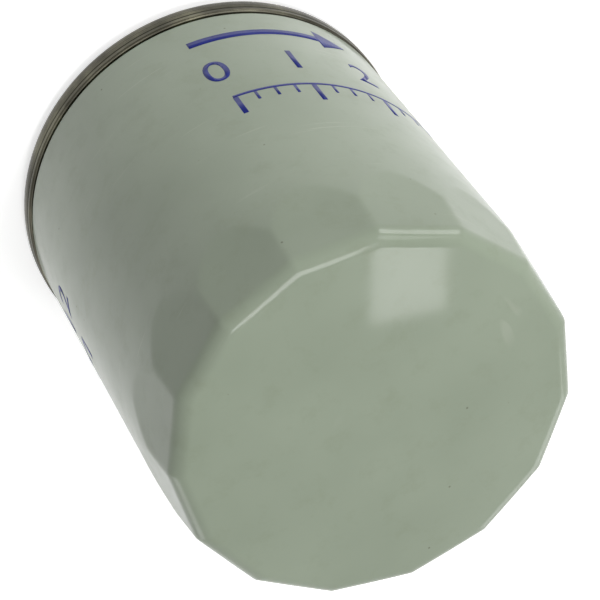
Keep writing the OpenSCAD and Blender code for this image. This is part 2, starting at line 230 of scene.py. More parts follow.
def wire_coil(name, radius, wire, turns, low, high):
    """Round spring wire wound in a coil whose end turns lie flat."""
    per_turn = 48
    flat_turns = 0.75
    climb = high - low - 2 * wire
    count = math.ceil(turns * per_turn)
    curve = bpy.data.curves.new(name, "CURVE")
    curve.dimensions = "3D"
    curve.bevel_depth = wire / 2
    curve.bevel_resolution = 4
    curve.use_fill_caps = True
    line = curve.splines.new("POLY")
    line.points.add(count)
    for i, point in enumerate(line.points):
        at = turns * i / count
        if at < flat_turns:
            rise = wire / 2 * at / flat_turns
        elif at > turns - flat_turns:
            rise = climb + wire / 2 + wire / 2 * (at - turns + flat_turns) / flat_turns
        else:
            rise = wire / 2 + climb * (at - flat_turns) / (turns - 2 * flat_turns)
        angle = 2 * math.pi * at
        point.co = (radius * math.cos(angle), radius * math.sin(angle), low + wire / 2 + rise, 1)
    bm = drawn(curve)
    bmesh.ops.remove_doubles(bm, verts=bm.verts, dist=MERGE)
    bmesh.ops.recalc_face_normals(bm, faces=bm.faces)
    return finished(name, bm, finish("spring_wire"))


# ---------------------------------------------------------------- finishes


def node(tree, kind, values=None, links=None, stops=None, **settings):
    """Adds a node with its settings, its inputs' values, the sockets that feed them and a ramp's stops."""
    made = tree.nodes.new(kind)
    for key, value in settings.items():
        setattr(made, key, value)
    for key, value in (values or {}).items():
        made.inputs[key].default_value = value
    for key, source in (links or {}).items():
        tree.links.new(source, made.inputs[key])
    for i, (place, shade) in enumerate(stops or []):
        if i >= len(made.color_ramp.elements):
            made.color_ramp.elements.new(place)
        made.color_ramp.elements[i].position = place
        made.color_ramp.elements[i].color = shade
    return made


def per(millimetres):
    """Pattern scale whose features are this many millimetres across."""
    return 1 / (millimetres * MM)


def grey(level):
    """A neutral linear colour."""
    return (level, level, level, 1.0)


def rings(tree, place):
    """Object coordinates as (distance from the axis, 0, height), so that a pattern on them runs round the axis."""
    flat = node(tree, "ShaderNodeVectorMath", {1: (1, 1, 0)}, {0: place}, operation="MULTIPLY")
    radius = node(tree, "ShaderNodeVectorMath", {}, {0: flat.outputs[0]}, operation="LENGTH")
    height = node(tree, "ShaderNodeSeparateXYZ", {}, {0: place})
    return node(tree, "ShaderNodeCombineXYZ", {}, {"X": radius.outputs["Value"], "Z": height.outputs["Z"]}).outputs[0]


def surface(
    name, shades, rough, broad, grain, relief,
    metallic=0.0, stretch=(1, 1, 1), round_axis=False, marks=None, **shader,
):
    """A finish with colour drifting between shades over broad millimetres, and roughness and relief from a grain.

    shades are two or three linear colours, rough the lowest and highest roughness, grain the grain's size and relief
    its height in millimetres. stretch draws the grain out, round_axis runs it round the axis, and marks are a third,
    sparse pattern: (size in millimetres, share of the surface, its colour, its roughness).
    """
    made = bpy.data.materials.new(name)
    made.use_nodes = True
    tree = made.node_tree
    tree.nodes.clear()
    place = node(tree, "ShaderNodeTexCoord").outputs["Object"]
    lie = rings(tree, place) if round_axis else place
    stretched = node(tree, "ShaderNodeMapping", {"Scale": stretch}, {"Vector": lie}).outputs[0]
    drift = node(
        tree, "ShaderNodeTexNoise", {"Scale": per(broad), "Detail": 4.0, "Roughness": 0.55}, {"Vector": place}
    )
    fine = node(
        tree, "ShaderNodeTexNoise", {"Scale": per(grain), "Detail": 5.0, "Roughness": 0.6}, {"Vector": stretched}
    )
    steps = [(0.32 + 0.36 * i / (len(shades) - 1), shade) for i, shade in enumerate(shades)]
    tone = node(tree, "ShaderNodeValToRGB", {}, {"Fac": drift.outputs["Fac"]}, steps).outputs["Color"]
    level = node(
        tree, "ShaderNodeMapRange", {"From Min": 0.3, "From Max": 0.7, "To Min": rough[0], "To Max": rough[1]},
        {"Value": fine.outputs["Fac"]},
    ).outputs[0]
    if marks:
        size, share, shade, mark_rough = marks
        spots = node(
            tree, "ShaderNodeTexNoise", {"Scale": per(size), "Detail": 3.0, "Roughness": 0.7}, {"Vector": stretched}
        )
        edge = 0.5 + 0.28 * (1 - share)
        where = node(
            tree, "ShaderNodeMapRange", {"From Min": edge, "From Max": edge + 0.05}, {"Value": spots.outputs["Fac"]}
        ).outputs[0]
        tone = node(tree, "ShaderNodeMix", {7: shade}, {0: where, 6: tone}, data_type="RGBA").outputs[2]
        level = node(tree, "ShaderNodeMix", {3: mark_rough}, {0: where, 2: level}, data_type="FLOAT").outputs[0]
    bump = node(
        tree, "ShaderNodeBump", {"Strength": 1.0, "Distance": relief * MM}, {"Height": fine.outputs["Fac"]}
    )
    skin = node(
        tree, "ShaderNodeBsdfPrincipled", {"Metallic": metallic, **shader},
        {"Base Color": tone, "Roughness": level, "Normal": bump.outputs[0]},
    )
    node(tree, "ShaderNodeOutputMaterial", {}, {"Surface": skin.outputs[0]})
    return made


def enamel(colours):
    """Baked enamel, sprayed on drawn steel: an even pale skin with a soft gloss, a faint orange peel and a few rubs."""
    made = bpy.data.materials.new("baked_enamel")
    made.use_nodes = True
    tree = made.node_tree
    tree.nodes.clear()
    place = node(tree, "ShaderNodeTexCoord").outputs["Object"]
    drift = node(tree, "ShaderNodeTexNoise", {"Scale": per(38), "Detail": 3.0}, {"Vector": place})
    tone = node(
        tree, "ShaderNodeValToRGB", {}, {"Fac": drift.outputs["Fac"]},
        [(0.35, colours.enamel_shade), (0.65, colours.enamel)],
    ).outputs["Color"]
    # Handling leaves faint grey clouds a few millimetres wide
    cloud = node(tree, "ShaderNodeTexNoise", {"Scale": per(7), "Detail": 6.0, "Roughness": 0.65}, {"Vector": place})
    smudge = node(
        tree, "ShaderNodeMapRange", {"From Min": 0.52, "From Max": 0.78, "To Max": 0.35},
        {"Value": cloud.outputs["Fac"]},
    ).outputs[0]
    tone = node(tree, "ShaderNodeMix", {7: linear("#8F987F")}, {0: smudge, 6: tone}, data_type="RGBA").outputs[2]
    # Specks of dirt about 0.3 mm across, in a few of the cells
    cells = node(tree, "ShaderNodeTexVoronoi", {"Scale": per(4.5)}, {"Vector": place})
    near = node(
        tree, "ShaderNodeMapRange", {"From Min": 0.075, "From Max": 0.03, "To Max": 0.6},
        {"Value": cells.outputs["Distance"]},
    ).outputs[0]
    pick = node(tree, "ShaderNodeSeparateColor", {}, {0: cells.outputs["Color"]}).outputs[0]
    chosen = node(tree, "ShaderNodeMath", {1: 0.86}, {0: pick}, operation="GREATER_THAN").outputs[0]
    speck = node(tree, "ShaderNodeMath", {}, {0: near, 1: chosen}, operation="MULTIPLY").outputs[0]
    tone = node(tree, "ShaderNodeMix", {7: linear("#5C5A48")}, {0: speck, 6: tone}, data_type="RGBA").outputs[2]
    # Rub marks: hairlines 0.15 mm wide and some centimetres long, in patches
    slant = node(
        tree, "ShaderNodeMapping", {"Rotation": (0.3, 0.5, 0.2), "Scale": (0.02, 0.02, 1.0)}, {"Vector": place}
    ).outputs[0]
    hair = node(tree, "ShaderNodeTexNoise", {"Scale": per(0.5), "Detail": 2.0}, {"Vector": slant})
    thin = node(tree, "ShaderNodeMapRange", {"From Min": 0.69, "From Max": 0.73}, {"Value": hair.outputs["Fac"]})
    patch = node(tree, "ShaderNodeMapRange", {"From Min": 0.5, "From Max": 0.6}, {"Value": drift.outputs["Fac"]})
    rub = node(tree, "ShaderNodeMath", {}, {0: thin.outputs[0], 1: patch.outputs[0]}, operation="MULTIPLY").outputs[0]
    shown = node(tree, "ShaderNodeMath", {1: 0.35}, {0: rub}, operation="MULTIPLY").outputs[0]
    tone = node(tree, "ShaderNodeMix", {7: linear("#C6CCBC")}, {0: shown, 6: tone}, data_type="RGBA").outputs[2]
    level = node(
        tree, "ShaderNodeMapRange", {"From Min": 0.3, "From Max": 0.75, "To Min": 0.3, "To Max": 0.42},
        {"Value": cloud.outputs["Fac"]},
    ).outputs[0]
    # Orange peel: ripples 1.6 mm apart and some microns high
    peel = node(tree, "ShaderNodeTexNoise", {"Scale": per(1.6), "Detail": 2.0}, {"Vector": place})
    ripple = node(tree, "ShaderNodeBump", {"Strength": 1.0, "Distance": 0.012 * MM}, {"Height": peel.outputs["Fac"]})
    groove = node(
        tree, "ShaderNodeBump", {"Strength": 1.0, "Distance": 0.01 * MM},
        {"Height": rub, "Normal": ripple.outputs[0]}, invert=True,
    )
    skin = node(
        tree, "ShaderNodeBsdfPrincipled",
        {"IOR": 1.45, "Specular IOR Level": 0.15, "Coat Weight": 0.4, "Coat Roughness": 0.08},
        {"Base Color": tone, "Roughness": level, "Normal": groove.outputs[0]},
    )
    node(tree, "ShaderNodeOutputMaterial", {}, {"Surface": skin.outputs[0]})
    return made


def make_finishes(colours):
    """Every finish of the filter, by name."""
    steel = {"metallic": 1.0}
    return {
        "enamel": enamel(colours),
        # Tinned strip rolled by the seaming wheels, with fine lines round the axis; its brown-grey colours are darker
        # than bare tin, painted shade that stands in for the dark surroundings the seam mirrors
        "tinplate": surface(
            "rolled_tinplate", [linear("#3E3D36"), colours.tinplate, linear("#716F5F")],
            (0.2, 0.34), 11, 0.3, 0.05, round_axis=True, marks=(0.5, 0.85, linear("#2B2A22"), 0.42), **steel,
        ),
        # Latex compound poured in the seam: matt green, slightly lumpy
        "sealant": surface(
            "latex_seaming_compound", [linear("#2F5533"), linear("#3E6B41")],
            (0.55, 0.75), 4, 0.5, 0.05,
        ),
        # Moulded nitrile rubber: near black, a dull sheen, a fine mould grain and talc in its pores
        "gasket": surface(
            "moulded_nitrile_rubber", [colours.gasket, linear("#2C2B29")],
            (0.42, 0.62), 9, 0.35, 0.015, marks=(0.8, 0.2, linear("#3C3B37"), 0.8), **{"IOR": 1.52},
        ),
        # Phosphated and oiled plate: mottled grey crystals with an oily half gloss
        "plate_steel": surface(
            "phosphated_steel_plate", [linear("#3F403D"), linear("#5A5B56"), linear("#6C6D66")],
            (0.38, 0.6), 3, 0.18, 0.012, metallic=0.85, marks=(2.5, 0.2, linear("#4B3D2E"), 0.65),
        ),
        # Silicone rubber: brick red, matt, with flow lines round the axis
        "valve_rubber": surface(
            "moulded_silicone_rubber", [linear("#7C321C"), colours.valve_rubber, linear("#9C4A2D")],
            (0.45, 0.6), 8, 0.6, 0.02, round_axis=True,
            **{"IOR": 1.41, "Subsurface Weight": 0.08, "Subsurface Radius": (0.002, 0.001, 0.0006)},
        ),
        # Cold-rolled strip, stamped: grey, with straight roll lines and rub marks from the die
        "cap_steel": surface(
            "stamped_cold_rolled_strip", [linear("#7C7D7A"), linear("#94958F"), linear("#A7A8A1")],
            (0.25, 0.42), 12, 0.3, 0.008, stretch=(0.04, 1, 1), marks=(1.2, 0.2, linear("#6B6557"), 0.5), **steel,
        ),
        # Plastisol cured in the cap: orange red, glossy, with small bubbles
        "bond": surface(
            "cured_plastisol", [linear("#A84626"), colours.adhesive, linear("#C9633C")],
            (0.22, 0.4), 5, 1.1, 0.06, marks=(0.9, 0.15, linear("#8E3A1F"), 0.3), **{"IOR": 1.5},
        ),
        # Resin-treated cellulose: matt straw-coloured felt, its fibres drawn out along the web
        "paper": surface(
            "resin_treated_filter_paper", [linear("#BFA367"), colours.paper, linear("#D8C293")],
            (0.82, 0.95), 6, 0.35, 0.05, stretch=(1, 1, 0.15), marks=(0.5, 0.3, linear("#A98C52"), 0.9),
        ),
        # Perforated strip rolled into a tube: bare, lined along the strip
        "tube_steel": surface(
            "perforated_steel_strip", [linear("#74756F"), linear("#8E8F88"), linear("#9C9D95")],
            (0.3, 0.5), 8, 0.3, 0.008, round_axis=True, marks=(1.5, 0.25, linear("#675F50"), 0.6), **steel,
        ),
        # Zinc-plated valve parts: bright, blue-grey, with a faint spangle
        "valve_steel": surface(
            "zinc_plated_steel", [linear("#8F959B"), linear("#A9AEB2"), linear("#B9BBB8")],
            (0.2, 0.36), 2.5, 0.4, 0.006, marks=(3, 0.2, linear("#9A9A86"), 0.4), **steel,
        ),
        # Moulded washer: black, dull
        "washer_rubber": surface(
            "moulded_washer_rubber", [linear("#1B1B1B"), linear("#292827")],
            (0.5, 0.68), 5, 0.3, 0.012, **{"IOR": 1.52},
        ),
        # Patented spring wire: dark, smooth, its drawing lines too fine to show and drawn 0.2 mm apart
        "spring_wire": surface(
            "drawn_spring_wire", [linear("#4E5052"), linear("#6A6C6D"), linear("#7F8181")],
            (0.22, 0.38), 5, 0.2, 0.005, stretch=(1, 1, 3), marks=(1.0, 0.15, linear("#4F4034"), 0.55), **steel,
        ),
        # Screen-printed ink: a thin matt film, a little uneven in density
        "ink": surface(
            "screen_printed_ink", [colours.ink, linear("#14268A")],
            (0.3, 0.42), 3, 0.25, 0.004, marks=(0.4, 0.05, linear("#33409A"), 0.5), **{"Specular IOR Level": 0.25},
        ),
    }


FINISHES = {}


def finish(name):
    """The finish of that name, made with all the others when the first is asked for."""
    if not FINISHES:
        FINISHES.update(make_finishes(bpy.context.scene.filter_colours))
    return FINISHES[name]


# ---------------------------------------------------------------- the can

# In millimetres: how much less a fold's rounding is than a half turn needs, and how far a hook stops from a fold
BEND_PLAY = 0.03
HOOK_PLAY = 0.8


def rounded_overlap(a, b, rounding):
    """Signed distance to what lies inside both forms, with the edge between them rounded."""
    outer = np.hypot(np.maximum(a + rounding, 0), np.maximum(b + rounding, 0))
    return np.minimum(np.maximum(a, b), -rounding) + outer


def can_distance(x, y, z, can):
    """Distance outside the middle of the can's sheet: wall, wrench flats and domed end."""
    half = can.wall / 2
    corner_r = can.radius - can.inset
    turn_angle = 2 * math.pi / can.flats
    middle = corner_r * math.cos(turn_angle / 2)
    lean = math.atan(can.inset * math.cos(turn_angle / 2) / can.flat_height)
    rise = can.crown - can.end
    dome_r = (corner_r ** 2 + rise ** 2) / (2 * rise)
    angles = turn_angle * np.arange(can.flats)
    reach = np.outer(x, np.cos(angles)) + np.outer(y, np.sin(angles))
    flats = (reach - middle) * math.cos(lean) + (z - can.end)[:, None] * math.sin(lean) + half
    nearest = np.sort(flats, axis=1)
    side = rounded_overlap(nearest[:, -1], nearest[:, -2], can.corner)
    side = rounded_overlap(side, np.hypot(x, y) - can.radius + half, can.scallop)
    dome = np.sqrt(x ** 2 + y ** 2 + (z - can.crown + dome_r) ** 2) - dome_r + half
    return rounded_overlap(side, dome, can.edge)


def press_end(bm, can, core_r, core_z, low_z):
    """Presses the flats and the dome into the plain drawn end, along lines from a ring inside the can."""
    verts = [v for v in bm.verts if v.co.z > low_z]
    at = np.array([v.co for v in verts])
    radius = np.hypot(at[:, 0], at[:, 1])
    away = np.maximum(radius, 1e-9)
    ux, uy = at[:, 0] / away, at[:, 1] / away
    from_r, from_z = np.minimum(radius, core_r), np.minimum(at[:, 2], core_z)
    reach = np.hypot(radius - from_r, at[:, 2] - from_z)
    dr, dz = (radius - from_r) / reach, (at[:, 2] - from_z) / reach
    # Halving the span this often leaves an error far below a nanometre
    near, far = np.zeros(len(at)), reach * 1.5
    for _ in range(40):
        middle = (near + far) / 2
        r, z = from_r + middle * dr, from_z + middle * dz
        outside = can_distance(r * ux, r * uy, z, can) > 0
        far, near = np.where(outside, middle, far), np.where(outside, near, middle)
    for vert, x, y, z in zip(verts, r * ux, r * uy, z):
        vert.co = (x, y, z)


def layer_radii(can, seam):
    """Middle radii of the seam's layers: lid wall, can hook, lid hook, can neck and chuck wall."""
    step = (seam.sheet + can.wall) / 2 + seam.gap
    wall = seam.radius - seam.sheet / 2
    return [wall - step * i for i in range(5)]


class OILFILTER_OT_can(bpy.types.Operator):
    """Draws the can, presses its wrench flats and hooks its rim into the seam"""

    bl_idname = "oilfilter.can"
    bl_label = "Painted can"

    def execute(self, context):
        can, seam = context.scene.filter_can, context.scene.filter_seam
        _, hook_r, _, neck_r, _ = [r / MM for r in layer_radii(can, seam)]
        wall_r = (can.radius - can.wall / 2) / MM
        seam_top = seam.top / MM
        hook_z = (seam.rim + seam.sheet + seam.gap + can.wall / 2) / MM
        hook_bend = (hook_r - neck_r) / 2 - BEND_PLAY
        hook_end = seam_top - seam.sheet / MM - HOOK_PLAY
        neck_z = seam_top + 0.05
        core_r, core_z, press_z = 36.0, 102.0, 84.0
        bend = wall_r - core_r
        bm = bmesh.new()
        # From the hook's end round its fold, up the neck and out to the wall
        outline(bm, [
            (hook_r, hook_end, 0), (hook_r, hook_z, hook_bend), (neck_r, hook_z, hook_bend),
            (neck_r, neck_z, 0.45), (wall_r, neck_z + 1.15, 0.5), (wall_r, press_z, 0),
        ], segments=4)
        # The drawn end before pressing: wall, wide bend and flat top
        top = bmesh.new()
        outline(top, [(wall_r, press_z, 0), (wall_r, core_z + bend, bend), (0, core_z + bend, 0)], segments=38)
        add_part(bm, top)
        bmesh.ops.remove_doubles(bm, verts=bm.verts, dist=MERGE)

        def longest(at):
            if at.z < press_z * MM:
                return 40 * MM
            return 0.85 * MM if at.z < core_z * MM else 2.8 * MM

        divide(bm, longest)
        turn(bm, can.flats * 26)
        press_end(bm, can, core_r * MM, core_z * MM, (press_z + 0.1) * MM)
        piece = thicken(finished("painted_can", bm, finish("enamel"), sharp=60), can.wall)
        settle(piece, "housing", "can")
        return {"FINISHED"}


# ---------------------------------------------------------------- print on the can


def wrap(bm, radius, start):
    """Lays a flat drawing on the can: X runs round it from the start angle, Y towards the seam."""
    for vert in bm.verts:
        angle = start - vert.co.x / radius
        vert.co = (radius * math.cos(angle), radius * math.sin(angle), -vert.co.y)


def drawn_text(words, size):
    """Text as a flat bmesh, centred on its own middle."""
    curve = bpy.data.curves.new("figure", "FONT")
    curve.body = words
    curve.size = size
    curve.align_x = "CENTER"
    curve.align_y = "CENTER"
    curve.resolution_u = 6
    bm = drawn(curve)
    bmesh.ops.dissolve_limit(bm, angle_limit=math.radians(1), verts=bm.verts, edges=bm.edges)
    # The 4 keeps faces with almost no area along its crossbar, which join the face beside them
    slivers = [face for face in bm.faces if face.calc_area() < 1e-6 * size * size]
    longest = dict.fromkeys(max(face.edges, key=lambda edge: edge.calc_length()) for face in slivers)
    bmesh.ops.dissolve_edges(bm, edges=list(longest))
    return bm


def bar(bm, x0, x1, y0, y1):
    """A flat rectangle."""
    made = bmesh.ops.create_grid(bm, x_segments=1, y_segments=1, size=0.5)["verts"]
    bmesh.ops.scale(bm, vec=(x1 - x0, y1 - y0, 1), verts=made)
    bmesh.ops.translate(bm, vec=((x0 + x1) / 2, (y0 + y1) / 2, 0), verts=made)


class OILFILTER_OT_scale(bpy.types.Operator):
    """Prints the plain tightening scale on three quarters of the can: arrows, ticks and the numbers 0 to 12"""

    bl_idname = "oilfilter.scale"
    bl_label = "Tightening scale"

    def execute(self, context):
        radius = context.scene.filter_can.radius + 0.03 * MM
        start = math.radians(-97)
        numbers, ticks_between, arrows = 12, 4, 3
        step = 2 * math.pi * radius / 16
        # Shapes keep this far apart, so that none shares an edge with the next
        apart = 0.01 * MM
        line_z, line_w = 46 * MM, 0.9 * MM
        long_tick, short_tick = (8 * MM, 0.6 * MM), (4 * MM, 0.35 * MM)
        figure_z, figure_h = 34 * MM, 13 * MM
        arrow_z, arrow_l, arrow_w, arrow_tail = 19 * MM, 30 * MM, 2.6 * MM, 2 * MM
        bm = bmesh.new()
        bar(bm, -line_w / 2, numbers * step + line_w / 2, -line_z - line_w / 2, -line_z + line_w / 2)
        for i in range(numbers * ticks_between + 1):
            at = step * i / ticks_between
            tall, wide = short_tick if i % ticks_between else long_tick
            bar(bm, at - wide, at + wide, -line_z - tall, -line_z - line_w / 2 - apart)
        for i in range(numbers + 1):
            figure = drawn_text(str(i), figure_h)
            bmesh.ops.translate(figure, vec=(step * i, -figure_z, 0), verts=figure.verts)
            add_part(bm, figure)
        for i in range(arrows):
            at = numbers / arrows * step * i
            bar(bm, at - arrow_tail, at + arrow_l, -arrow_z - arrow_w / 2, -arrow_z + arrow_w / 2)
            head = bmesh.ops.create_circle(bm, cap_ends=True, segments=3, radius=2 * arrow_w)["verts"]
            bmesh.ops.rotate(bm, verts=head, cent=(0, 0, 0), matrix=Matrix.Rotation(-math.pi / 2, 3, "Z"))
            bmesh.ops.translate(bm, vec=(at + arrow_l + arrow_w + apart, -arrow_z, 0), verts=head)
        # Long faces are cut every millimetre, so that they follow the wall, at places that no shape's edge is on
        low, high = [f(v.co.x for v in bm.verts) for f in (min, max)]
        for i in range(int(low / MM), int(high / MM) + 1):
            bmesh.ops.bisect_plane(
                bm, geom=bm.verts[:] + bm.edges[:] + bm.faces[:], dist=ON_PLANE,
                plane_co=((i + 0.43) * MM, 0, 0), plane_no=(1, 0, 0),
            )
        wrap(bm, radius, start)
        piece = finished("tightening_scale", bm, finish("ink"))
        film = piece.modifiers.new("film", "SOLIDIFY")
        film.thickness = 0.02 * MM
        film.offset = -1.0
        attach(piece, "housing")
        return {"FINISHED"}


# ---------------------------------------------------------------- lid, gasket and base plate

# Between the gasket's inner and outer side, in millimetres
GASKET_WIDTH = 5


class OILFILTER_OT_lid(bpy.types.Operator):
    """Rolls the lid: the gasket's channel, the spot welds and the five-layer seam"""

    bl_idname = "oilfilter.lid"
    bl_label = "Seamed lid"

    def execute(self, context):
        can, seam = context.scene.filter_can, context.scene.filter_seam
        wall_r, _, hook_r, _, chuck_r = [r / MM for r in layer_radii(can, seam)]
        sheet = seam.sheet / MM
        low, top = seam.rim / MM + sheet / 2, seam.top / MM - sheet / 2
        gasket_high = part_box("mounting_gasket")[1]
        gasket_r = gasket_high.x / MM
        floor = gasket_high.z / MM + sheet / 2
        channel_play, channel_depth = 0.15, 3.2
        lip_r = gasket_r - GASKET_WIDTH - channel_play - sheet / 2
        channel_r = gasket_r + channel_play + sheet / 2
        channel_z = gasket_high.z / MM - channel_depth
        fold_r = channel_r + sheet + 0.5
        hook_z = seam.rim / MM + sheet + can.wall / MM + 2 * seam.gap / MM + HOOK_PLAY
        rim_bend = (wall_r - chuck_r) / 2 - BEND_PLAY
        bm = bmesh.new()
        # From the inner lip over the gasket's channel, out over the plate, down the chuck wall, round the rim and
        # over the top into the hook
        outline(bm, [
            (lip_r, channel_z, 0), (lip_r, floor, 0.5), (channel_r, floor, 0.5), (channel_r, channel_z, 0.4),
            (fold_r, channel_z, 0.4), (fold_r, floor, 0.5), (chuck_r, floor, 1.0), (chuck_r, low, rim_bend),
            (wall_r, low, rim_bend), (wall_r, top - 1.45, 0), (wall_r - 0.1, top - 1.3, 0),
            (wall_r - 0.1, top, 0.5), (hook_r, top, 0.55), (hook_r, hook_z, 0),
        ])
        # Fine where the dimples come
        divide(bm, lambda at: 0.6 * MM if fold_r * MM < at.x < chuck_r * MM and at.z > channel_z * MM else 3 * MM)
        turn(bm, 240)
        # Spot welds hold the lid to the base plate: shallow dimples from the electrodes
        welds, weld_r, weld_size, weld_depth = 8, (fold_r + chuck_r) / 2 * MM, 2.0 * MM, 0.22 * MM
        for i in range(welds):
            angle = 2 * math.pi * i / welds
            centre = Vector((weld_r * math.cos(angle), weld_r * math.sin(angle), floor * MM))
            for vert in bm.verts:
                gap = (vert.co - centre).length
                if gap < weld_size:
                    vert.co.z += weld_depth * (0.5 + 0.5 * math.cos(math.pi * gap / weld_size))
        piece = thicken(finished("seamed_lid", bm, finish("tinplate"), sharp=50), seam.sheet)
        settle(piece, "housing", "seaming_lid")
        return {"FINISHED"}


class OILFILTER_OT_gasket(bpy.types.Operator):
    """Moulds the gasket, with rounded edges, a mould line and oil grooves"""

    bl_idname = "oilfilter.gasket"
    bl_label = "Mounting gasket"

    def execute(self, context):
        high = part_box("mounting_gasket")[1]
        outer, top = high.x / MM, high.z / MM
        inner = outer - GASKET_WIDTH
        bm = bmesh.new()
        # Sealing face with its two grooves, outer side with the mould line, and back
        points = [(inner, 0, 0.55), (inner + 1.6, 0, 0.15), (inner + 1.85, 0.18, 0.1), (inner + 2.1, 0, 0.15)]
        points += [(outer - 2.1, 0, 0.15), (outer - 1.85, 0.18, 0.1), (outer - 1.6, 0, 0.15), (outer, 0, 0.55)]
        points += [(outer, 0.95, 0), (outer + 0.05, 1.05, 0), (outer, 1.15, 0), (outer, top, 0.55)]
        points += [(inner, top, 0.55)]
        outline(bm, points, closed=True, segments=4)
        turn(bm, 192)
        piece = finished("square_cut_gasket", bm, finish("gasket"), sharp=35)
        settle(piece, "housing", "mounting_gasket")
        return {"FINISHED"}


def threaded_bore(bm, low, high, crest_r, root_r, pitch, mouth_r, steps):
    """A right-hand internal thread between two faces, cut back by a cone at each mouth."""
    turns = math.ceil((high - low) / pitch) + 3
    quarter = pitch / 4
    points = []
    # Each turn has a root flat of an eighth of the pitch and, half a pitch on, a crest flat of a quarter
    for i in range(turns):
        at = low + (i - 2) * pitch
        points += [(root_r, at - quarter / 4), (root_r, at + quarter / 4)]
        points += [(crest_r, at + 2 * quarter - quarter / 2), (crest_r, at + 2 * quarter + quarter / 2)]
    verts = [bm.verts.new((r * MM, 0, z * MM)) for r, z in points]
    for a, b in zip(verts, verts[1:]):
        bm.edges.new((a, b))
    divide(bm, lambda at: 0.3 * MM)
    bmesh.ops.spin(
        bm, geom=bm.verts[:] + bm.edges[:], cent=(0, 0, 0), axis=(0, 0, 1), dvec=(0, 0, pitch * MM / steps),
        angle=2 * math.pi, steps=steps, use_merge=False, use_duplicate=False,
    )
    bmesh.ops.remove_doubles(bm, verts=bm.verts, dist=MERGE)
    for z, side in ((low, -1), (high, 1)):
        bmesh.ops.bisect_plane(
            bm, geom=bm.verts[:] + bm.edges[:] + bm.faces[:], dist=ON_PLANE,
            plane_co=(0, 0, z * MM), plane_no=(0, 0, side), clear_outer=True,
        )
    for vert in bm.verts:
        radius = math.hypot(vert.co.x, vert.co.y)
        depth = min(vert.co.z / MM - low, high - vert.co.z / MM)
        wanted = max(radius, (mouth_r - depth) * MM)
        vert.co.x *= wanted / radius
        vert.co.y *= wanted / radius


class OILFILTER_OT_base_plate(bpy.types.Operator):
    """Makes the base plate: threaded hub, stepped boss and inlet holes"""

    bl_idname = "oilfilter.base_plate"
    bl_label = "Base plate"

    def execute(self, context):
        low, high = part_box("base_plate")
        z0, z1, plate_r = low.z / MM, high.z / MM, high.x / MM
        plate_z, step_z, step_r, hub_r = z0 + 4, z0 + 8.6, 15.5, 12.5
        crest_r, root_r, pitch = 8.7, 9.55, 25.4 / 16
        mouth_r, rim_r, steps = 9.9, 10.05, 96
        inlets, inlet_circle, inlet_r, punch_r = 8, 21.75 * MM, 4.0, 5.4
        body = bmesh.new()
        outline(body, [
            (rim_r, z0, 0), (plate_r, z0, 0.6), (plate_r, plate_z, 0.5), (step_r, plate_z, 0.8),
            (step_r, step_z, 0.5), (hub_r, step_z, 0.5), (hub_r, z1, 0.7), (rim_r, z1, 0),
        ], segments=4)
        divide(body, lambda at: 4 * MM)
        turn(body, steps)
        bore = bmesh.new()
        threaded_bore(bore, z0, z1, crest_r, root_r, pitch, mouth_r, steps)
        add_part(body, bore)
        for z in (z0, z1):
            mouth = [e for e in body.edges if e.is_boundary and all(abs(v.co.z - z * MM) < MERGE for v in e.verts)]
            bmesh.ops.bridge_loops(body, edges=mouth)
        bmesh.ops.recalc_face_normals(body, faces=body.faces)
        piece = finished("threaded_base_plate", body, finish("plate_steel"), sharp=35)
        # Inlet holes, with the punch's rounding at both mouths
        drill = bmesh.new()
        for i in range(inlets):
            tool = bmesh.new()
            outline(tool, [
                (0, z0 - 1, 0), (punch_r, z0 - 1, 0), (inlet_r, z0 + 0.4, 0.4), (inlet_r, plate_z - 0.3, 0.3),
                (punch_r, plate_z + 1.1, 0), (0, plate_z + 1.1, 0),
            ], segments=3)
            turn(tool, 40)
            angle = 2 * math.pi * (i + 0.5) / inlets
            place = (inlet_circle * math.cos(angle), inlet_circle * math.sin(angle), 0)
            bmesh.ops.translate(tool, vec=place, verts=tool.verts)
            add_part(drill, tool)
        punches = finished("punches", drill, finish("plate_steel"))
        cut = piece.modifiers.new("inlets", "BOOLEAN")
        cut.operation = "DIFFERENCE"
        cut.solver = "EXACT"
        cut.object = punches
        mesh = evaluated_mesh(piece)
        piece.modifiers.clear()
        old, piece.data = piece.data, mesh
        bpy.data.meshes.remove(old)
        bpy.data.objects.remove(punches)
        mesh.set_sharp_from_angle(angle=math.radians(35))
        settle(piece, "housing", "base_plate")
        return {"FINISHED"}


class OILFILTER_OT_drain_valve(bpy.types.Operator):
    """Moulds the anti-drain valve: a collar on the hub and a flap that seals past the inlet holes"""

    bl_idname = "oilfilter.drain_valve"
    bl_label = "Anti-drain valve"

    def execute(self, context):
        low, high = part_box("anti_drain_valve")
        z0, z1, lip_r = low.z / MM, high.z / MM, high.x / MM
        root = z1 - 4.1
        bm = bmesh.new()
        # Up the collar's bore, down its outside, out over the flap to the lip and back past the sealing bead
        outline(bm, [
            (12.6, root, 0.2), (12.6, z1, 0.3), (14.8, z1, 0.5), (14.8, root + 1.6, 0.8), (17.3, root + 1.6, 1.4),
            (26.3, z0 + 1.62, 1.2), (lip_r - 0.1, z0 + 1.6, 0.5), (lip_r, z0 + 0.1, 0.3), (27.6, z0 + 0.1, 0),
            (27.3, z0, 0), (27.0, z0 + 0.1, 0), (25.8, z0 + 0.1, 1.2), (16.7, root, 1.2),
        ], closed=True, segments=4)
        divide(bm, lambda at: 1.2 * MM)
        turn(bm, 128)
        piece = finished("rubber_drain_valve", bm, finish("valve_rubber"), sharp=50)
        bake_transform(piece)
        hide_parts("anti_drain_valve")
        return {"FINISHED"}


# ---------------------------------------------------------------- element, springs and carried-over pieces


